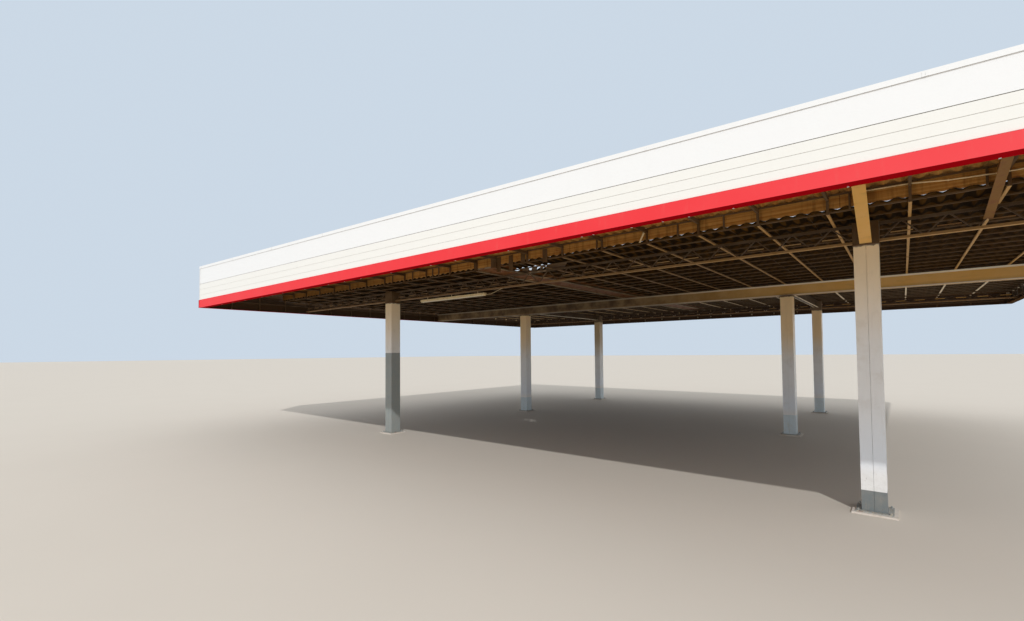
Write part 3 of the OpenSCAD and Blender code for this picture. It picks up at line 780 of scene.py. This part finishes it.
def roof_rows(name, node):
    """One half of the main roof as it is laid: rows of sheets, each over the back of the last."""
    low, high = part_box(node)
    bm = bmesh.new()
    row_sheets = []
    for k in range(round((high.x - low.x) / wave_pitch / sheet_waves)):
        before = set(bm.verts)
        wavy_sheet(bm, (low.x + k * sheet_waves * wave_pitch, low.y, low.z),
                   -0.5 if k else 0, sheet_waves, laid_pitch + row_lap)
        row_sheets.append([vert for vert in bm.verts if vert not in before])
    first_row = bm.verts[:] + bm.edges[:] + bm.faces[:]
    for row in range(1, rows):
        made = bmesh.ops.duplicate(bm, geom=first_row)
        slip = dice.uniform(-row_slip, row_slip) if row < rows - 1 else 0
        bmesh.ops.translate(bm, vec=(0, row * laid_pitch + slip, dice.uniform(0, row_slip / 3)),
                            verts=points(made["geom"]))
        for sheet in slipped_sheets.get(name, {}).get(row, ()):
            bmesh.ops.translate(bm, vec=(0, slip_back, slip_rise),
                                verts=[made["vert_map"][vert] for vert in row_sheets[sheet]])
    new_piece(name, bm, "roof_sheet", node)


def torn_boards():
    """Dark boards laid askew under the slipped sheets, with slits of daylight between them."""
    bm = bmesh.new()
    y0, y1 = (sheet_low.y + laid_pitch + reach for reach in torn_board_reach)
    top = sheet_low.z - torn_board_gap
    for x0, x1 in torn_board_spans:
        block(bm, (x0, y0, top - torn_board_metal), (x1, y1, top), fine_edge)
    for vert in bm.verts:
        vert.co.x += torn_board_slant * (vert.co.y - (y0 + y1) / 2)
    new_piece("torn_boards", bm, "dark_steel")


def gutter_aprons():
    """Strips from the centre gutter up to the first crest on either side, and its two end plates."""
    bm = bmesh.new()
    gutter_low, gutter_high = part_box("centre_gutter")
    front, back = sheet_low.y + apron_inset, sheet_high.y - apron_inset
    under = ((gutter_high.x - 0.004, gutter_high.z), (0.43, gutter_high.z + 0.016),
             (0.497, sheet_high.z + 0.010), (0.53, sheet_high.z + 0.004))
    over = tuple((x, z + apron_metal) for x, z in reversed(under))
    for side, start, end in ((-1, front, back), (1, front, apron_gap[0]), (1, apron_gap[1], back)):
        outline = [bm.verts.new((side * x, start, z)) for x, z in under + over]
        thicken(bm, [bm.faces.new(outline)], (0, end - start, 0))
    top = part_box("step_flashings")[0].z + gutter_end_lap
    for y in (gutter_low.y - gutter_end_metal, gutter_high.y):
        block(bm, (gutter_low.x, y, gutter_low.z), (gutter_high.x, y + gutter_end_metal, top), fine_edge)
    new_piece("gutter_aprons", bm, "zinc_flashing")


def board_level(x, share):
    """Height of a line on the tapering fascia, given as a share of the fascia's height."""
    left, right = fascia_heights
    return fascia_foot + share * (left + (right - left) * (x + board_face_x) / (2 * board_face_x))


def roof_washers():
    """Cap washers on the crests, two for each sheet of the main roof."""
    bm = bmesh.new()
    for node in ("main_roof_sheets_left", "main_roof_sheets_right"):
        low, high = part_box(node)
        y = low.y + washer_setback
        bottom, top = (high.z + level for level in washer_levels)
        for wave in range(round((high.x - low.x) / wave_pitch)):
            if wave % sheet_waves != 1:
                x = low.x + (wave + 0.5) * wave_pitch
                rod(bm, (x, y, bottom), (x, y, top), *washer_radii, sides=6)
    first_row = bm.verts[:] + bm.edges[:] + bm.faces[:]
    for row in range(1, rows):
        made = bmesh.ops.duplicate(bm, geom=first_row)["geom"]
        bmesh.ops.translate(bm, vec=(0, row * laid_pitch, 0), verts=points(made))
    new_piece("roof_washers", bm, "zinc_flashing")


def anchor_studs():
    """Studs with washers and hexagon nuts in the anchor holes of every base plate."""
    bm = bmesh.new()
    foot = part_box("base_plates")[1].z
    for x, y in column_places:
        for side_x in (-1, 1):
            for side_y in (-1, 1):
                place = (x + side_x * anchor_reach, y + side_y * anchor_reach)
                for bottom, top, radius, sides in anchor_parts:
                    rod(bm, (*place, foot + bottom), (*place, foot + top), radius, sides=sides)
    new_piece("anchor_studs", bm, "base_steel")


def column_welds():
    """Fillet welds round the foot of each column, and tack welds across its open seams."""
    bm = bmesh.new()
    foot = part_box("base_plates")[1].z
    for name in column_names:
        low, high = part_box(name)
        left, right = low.x - weld_bead, high.x + weld_bead
        for x0, y0, x1, y1 in ((left, low.y - weld_bead, right, low.y),
                               (left, high.y, right, high.y + weld_bead),
                               (left, low.y, low.x, high.y),
                               (high.x, low.y, right, high.y)):
            block(bm, (x0, y0, foot), (x1, y1, foot + weld_bead), weld_edge)
        x = (low.x + high.x) / 2
        spacing = (high.z - foot - 2 * tack_margin) / (tack_welds - 1)
        for k in range(tack_welds):
            z = foot + tack_margin + k * spacing
            for y in (low.y, high.y):
                block(bm, (x - tack_half_width, y - tack_half_depth, z),
                      (x + tack_half_width, y + tack_half_depth, z + tack_height), tack_edge)
    new_piece("column_welds", bm, "column_paint")


def girder_ties():
    """Short flat ties across the lattice bars of the front and back girders."""
    bm = bmesh.new()
    for node in ("front_girder", "back_girder"):
        low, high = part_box(node)
        y = (low.y + high.y) / 2
        stubs = [place[0] for place in column_places if abs(place[1] - y) < head_half]
        ends = [low.x, *(x + side * head_half for x in sorted(stubs) for side in (-1, 1)), high.x]
        for start, end in zip(ends[::2], ends[1::2]):
            panels = round((end - start) / lattice_panel)
            step = (end - start) / panels
            for k in range(panels):
                middle = start + (k + 0.5) * step
                block(bm, (middle - tie_half_length, y + tie_faces[0], tie_level),
                      (middle + tie_half_length, y + tie_faces[1], tie_level + tie_height), fine_edge)
    new_piece("girder_ties", bm, "ochre_steel")


def rafter_cleats():
    """Flat cleats that hold the purlins down, one at each crossing with a rafter."""
    bm = bmesh.new()
    low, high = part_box("roof_purlins")
    spacing = (high.y - low.y - 2 * purlin_half) / purlin_spaces
    for x in rafter_places:
        side = 1 if x < 0 else -1
        face = x + side * rafter_half
        for k in range(purlin_spaces + 1):
            y = low.y + purlin_half + k * spacing
            block(bm, (face, y - cleat_half, rafter_high - cleat_hang),
                  (face + side * cleat_metal, y + cleat_half, high.z - cleat_gap))
    new_piece("rafter_cleats", bm, "frame_steel")


def step_posts():
    """Dark uprights and hanging straps nailed to the front of the step, between the eave posts."""
    bm = bmesh.new()
    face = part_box("step_flashings")[0].y
    bottom = rafter_high + post_gap
    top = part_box("eave_rafters")[1].z
    for x in post_places:
        block(bm, (x - post_half, face - post_depth, bottom), (x + post_half, face, top), thick_edge)
    for x, z0, z1 in strap_places:
        block(bm, (x - strap_half, face + strap_faces[0], z0), (x + strap_half, face + strap_faces[1], z1),
              thick_edge)
    new_piece("step_posts", bm, "dark_steel")


def leaning_strut():
    """A pale square bar that leans against the step, left of the front bracket."""
    bm = bmesh.new()
    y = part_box("step_flashings")[0].y - strut_clearance
    start, end = ((x, y, z) for x, z in strut_ends)
    rod(bm, start, end, strut_radius, sides=4)
    new_piece("leaning_strut", bm, "light_housing")


def eave_conduit():
    """A thin pipe along the step from the front bracket to the right end, with clips at its bends."""
    bm = bmesh.new()
    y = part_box("eave_posts")[0].y - conduit_clearance
    route = [Vector((x, y, z)) for x, z in conduit_route]
    for start, end in zip(route, route[1:]):
        rod(bm, start, end, conduit_radius, sides=10)
        bmesh.ops.create_uvsphere(bm, u_segments=8, v_segments=6, radius=bend_radius,
                                  matrix=Matrix.Translation(end))
        block(bm, end - conduit_clip_half, end + conduit_clip_half, conduit_clip_edge)
    new_piece("eave_conduit", bm, "light_housing")


def lip_clips():
    """Folded clips that grip the inner edge of the red band's return, at the front and the back."""
    bm = bmesh.new()
    band_low, band_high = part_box("front_red_band")
    spots = list(seen_clips)
    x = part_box("left_fascia_frame")[1].x + first_clip
    while x < seen_clips[0] - last_clip:
        spots.append(x)
        x += dice.uniform(*clip_spacing)
    spots += right_clips
    for x in spots:
        for inward in (1, -1):
            for y0, z0, y1, z1 in clip_parts:
                block(bm, (x - clip_half, inward * (band_high.y + y0), band_low.z + z0),
                      (x + clip_half, inward * (band_high.y + y1), band_low.z + z1))
    new_piece("lip_clips", bm, "cap_flashing")


def groove_strips():
    """Thin strips behind the open grooves between the boards of every fascia."""
    bm = bmesh.new()
    bottom, top = groove_strip_rise
    for share, depth in groove_depths:
        end_x = board_face_x - depth
        end_y = board_face_y - depth
        for side in (-1, 1):
            outline = [bm.verts.new((x, side * end_y, board_level(x, share) + rise))
                       for x, rise in ((-end_x, bottom), (end_x, bottom), (end_x, top), (-end_x, top))]
            thicken(bm, [bm.faces.new(outline)], (0, -side * groove_strip_metal, 0))
            z = board_level(side * board_face_x, share)
            block(bm, (side * end_x, -end_y, z + bottom),
                  (side * (end_x - groove_strip_metal), end_y, z + top))
    new_piece("groove_strips", bm, "cream_board")


def corner_trims():
    """Folded angles that cover the board ends at the four corners of the fascia."""
    bm = bmesh.new()
    for side_x in (-1, 1):
        x = side_x * board_face_x
        outer_x = x + side_x * trim_metal
        low = board_level(x, band_share) + trim_gap
        high = board_level(x, cap_share) - trim_gap
        for side_y in (-1, 1):
            y = side_y * board_face_y
            outer_y = y + side_y * trim_metal
            block(bm, (outer_x, y, low), (x - side_x * trim_width, outer_y, high), fine_edge)
            block(bm, (x, y, low), (outer_x, y - side_y * trim_width, high), fine_edge)
    new_piece("corner_trims", bm, "cap_flashing")


def cap_straps():
    """Cover straps with two rivets over the joints of the cap flashing, at the front and the back."""
    bm = bmesh.new()
    for k in range(-cap_joints, cap_joints + 1):
        x = k * cap_sheet
        low = board_level(x, cap_share)
        high = board_level(x, 1)
        for side in (-1, 1):
            y = side * (board_face_y + cap_face)
            outer = y + side * cap_strap_metal
            block(bm, (x - cap_strap_half, y, low), (x + cap_strap_half, outer, high), cap_strap_edge)
            for z in (low + rivet_margins[0], high - rivet_margins[1]):
                rod(bm, (x, outer, z), (x, outer + side * rivet_height, z), *rivet_radii)
    new_piece("cap_straps", bm, "cap_flashing")


def batten_fittings():
    """End caps, tube holders and the bent supply pipe of the batten light under the front girder."""
    bm = bmesh.new()
    x, y, z = front_batten
    end_bottom, end_top = (z + rise for rise in batten_end_rise)
    holder_bottom, holder_top = (z + rise for rise in holder_rise)
    for side in (-1, 1):
        end = x + side * front_batten_length / 2
        block(bm, (end, y - batten_end_half, end_bottom),
              (end + side * batten_end_metal, y + batten_end_half, end_top), batten_end_edge)
        outer, inner = (end - side * inset for inset in holder_inset)
        for tube in (y - tube_offset, y + tube_offset):
            block(bm, (outer, tube - holder_half, holder_bottom), (inner, tube + holder_half, holder_top),
                  holder_edge)
    start_x = x + front_batten_length / 2 + batten_end_metal
    route = [(start_x + reach, y, z + rise) for reach, rise in supply_route]
    for start, end in zip(route, route[1:]):
        rod(bm, start, end, supply_radius)
    new_piece("batten_fittings", bm, "light_housing")


def stage_floor():
    """A pale floor that runs on past the horizon of every view."""
    bm = bmesh.new()
    bmesh.ops.create_grid(bm, x_segments=1, y_segments=1, size=floor_reach)
    mesh = bpy.data.meshes.new("floor")
    bm.to_mesh(mesh)
    bm.free()
    floor = bpy.data.objects.new("floor", mesh)
    bpy.context.scene.collection.objects.link(floor)
    paint = Paint("floor")
    colour = paint.mix(paint.noise(0.35, 5.0), FLOOR, tone(FLOOR, 0.96))
    floor.data.materials.append(paint.finish(colour, 0.85))


def soft_light():
    """One soft sun from the front right, and an even pale world."""
    sun = bpy.data.lights.new("soft_sun", "SUN")
    sun.energy = sun_strength
    sun.angle = math.radians(sun_softness)
    lamp = bpy.data.objects.new("soft_sun", sun)
    lamp.rotation_euler = (math.radians(90 - sun_height), 0, math.radians(sun_side))
    bpy.context.scene.collection.objects.link(lamp)
    world = bpy.data.worlds.new("pale_world")
    world.use_nodes = True
    bpy.context.scene.world = world
    tree = world.node_tree
    tree.nodes.clear()
    rays = tree.nodes.new("ShaderNodeLightPath")
    light = tree.nodes.new("ShaderNodeBackground")
    light.inputs["Color"].default_value = (*WORLD_LIGHT, 1)
    light.inputs["Strength"].default_value = world_strength
    seen = tree.nodes.new("ShaderNodeBackground")
    seen.inputs["Color"].default_value = (*BACKGROUND, 1)
    either = tree.nodes.new("ShaderNodeMixShader")
    out = tree.nodes.new("ShaderNodeOutputWorld")
    shown = rays.outputs["Is Camera Ray"]
    for other in ("Is Glossy Ray", "Is Transmission Ray"):
        both = tree.nodes.new("ShaderNodeMath")
        both.operation = "MAXIMUM"
        tree.links.new(shown, both.inputs[0])
        tree.links.new(rays.outputs[other], both.inputs[1])
        shown = both.outputs[0]
    tree.links.new(shown, either.inputs["Fac"])
    tree.links.new(light.outputs["Background"], either.inputs[1])
    tree.links.new(seen.outputs["Background"], either.inputs[2])
    tree.links.new(either.outputs["Shader"], out.inputs["Surface"])


def camera():
    """The camera, placed and turned as the photograph's vanishing points give it."""
    turn = math.radians(camera_turn)
    lift = math.radians(camera_lift)
    roll = math.radians(camera_roll)
    forward = Vector((-math.sin(turn) * math.cos(lift), math.cos(turn) * math.cos(lift), math.sin(lift)))
    level = Vector((math.cos(turn), math.sin(turn), 0))
    upright = level.cross(forward)
    right = math.cos(roll) * level - math.sin(roll) * upright
    up = math.sin(roll) * level + math.cos(roll) * upright
    lens = bpy.data.cameras.new("camera")
    lens.lens = focal_pixels / photo_width * lens.sensor_width
    lens.shift_y = (centre_row - photo_height / 2) / photo_width
    lens.clip_end = 2 * floor_reach
    eye = bpy.data.objects.new("camera", lens)
    turned = Matrix((right, up, -forward)).transposed().to_4x4()
    eye.matrix_world = Matrix.Translation(camera_place) @ turned
    bpy.context.scene.collection.objects.link(eye)
    bpy.context.scene.camera = eye


roof_rows("roof_rows_left", "main_roof_sheets_left")
roof_rows("roof_rows_right", "main_roof_sheets_right")
roof_washers()
anchor_studs()
column_welds()
girder_ties()
rafter_cleats()
torn_boards()
gutter_aprons()
step_posts()
leaning_strut()
eave_conduit()
lip_clips()
groove_strips()
corner_trims()
cap_straps()
batten_fittings()

stage_floor()
soft_light()
camera()
bpy.context.scene.view_settings.view_transform = "Standard"
